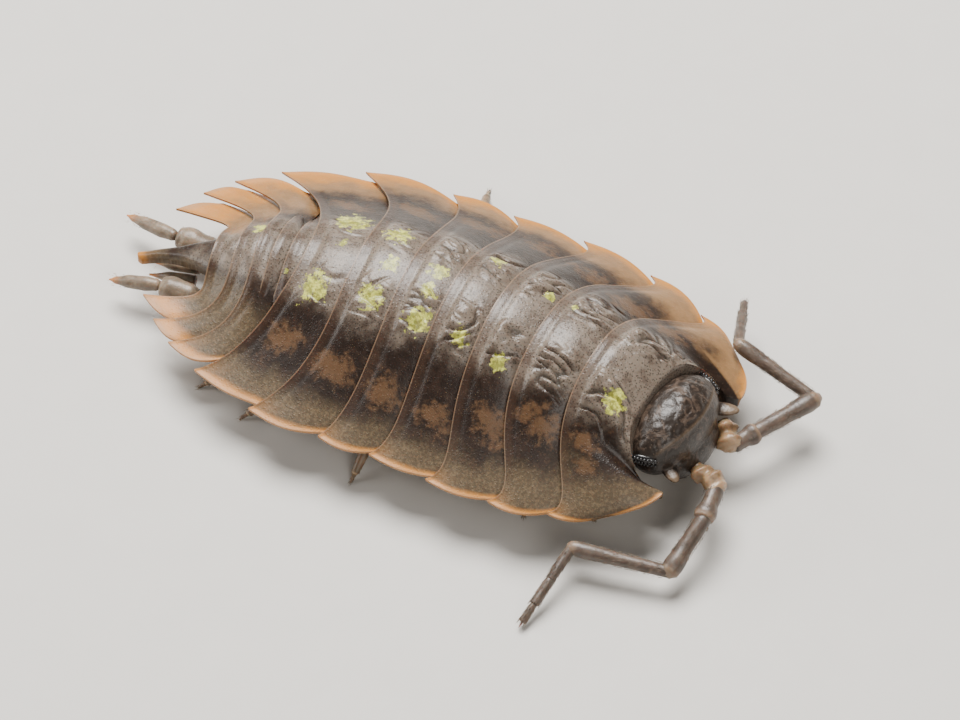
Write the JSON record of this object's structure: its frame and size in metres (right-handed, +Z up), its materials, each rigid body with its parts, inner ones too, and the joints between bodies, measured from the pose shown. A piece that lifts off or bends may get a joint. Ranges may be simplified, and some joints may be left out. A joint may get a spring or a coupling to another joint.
{
  "type": "woodlouse model",
  "caption": "Life-size still model of a walking woodlouse, with overlapping back plates, elbowed feelers, forked tail and legs that stand on small flats.",
  "frame": {"origin": "middle of the footprint of the whole animal, feelers and tail included, on the floor the feet stand on", "axes": "+X towards the head, +Y to the animal's left side, +Z up"},
  "size_m": [0.0182, 0.012, 0.0036],
  "materials": {
    "shell": "glossy mottled grey-brown shell with amber margins",
    "head": "satin dark brown shell with pale marbling",
    "eye": "glossy black lenses",
    "feeler": "satin grey-brown with fine hairs",
    "limb": "satin pale brown",
    "tail": "satin grey-beige with orange tips",
    "gill": "pale satin"
  },
  "bodies": {
    "root": {"antenna_left_base": "feeler", "antenna_left_long": "feeler", "antenna_left_mid": "feeler", "antenna_left_whip": "feeler", "antenna_right_base": "feeler", "antenna_right_long": "feeler", "antenna_right_mid": "feeler", "antenna_right_whip": "feeler", "eye_left": "eye", "eye_right": "eye", "head": "head", "leg_left_1": "limb", "leg_left_2": "limb", "leg_left_3": "limb", "leg_left_4": "limb", "leg_left_5": "limb", "leg_left_6": "limb", "leg_left_7": "limb", "leg_right_1": "limb", "leg_right_2": "limb", "leg_right_3": "limb", "leg_right_4": "limb", "leg_right_5": "limb", "leg_right_6": "limb", "leg_right_7": "limb", "pereonite_1": "shell", "pereonite_2": "shell", "pereonite_3": "shell", "pereonite_4": "shell", "pereonite_5": "shell", "pereonite_6": "shell", "pereonite_7": "shell", "pleonite_1": "shell", "pleonite_2": "shell", "pleonite_3": "shell", "pleonite_4": "shell", "pleonite_5": "shell", "pleopod_left_1": "gill", "pleopod_left_2": "gill", "pleopod_left_3": "gill", "pleopod_left_4": "gill", "pleopod_left_5": "gill", "pleopod_right_1": "gill", "pleopod_right_2": "gill", "pleopod_right_3": "gill", "pleopod_right_4": "gill", "pleopod_right_5": "gill", "telson": "shell", "uropod_left_base": "tail", "uropod_left_inner": "tail", "uropod_left_outer": "tail", "uropod_right_base": "tail", "uropod_right_inner": "tail", "uropod_right_outer": "tail"}
  },
  "joints": []
}
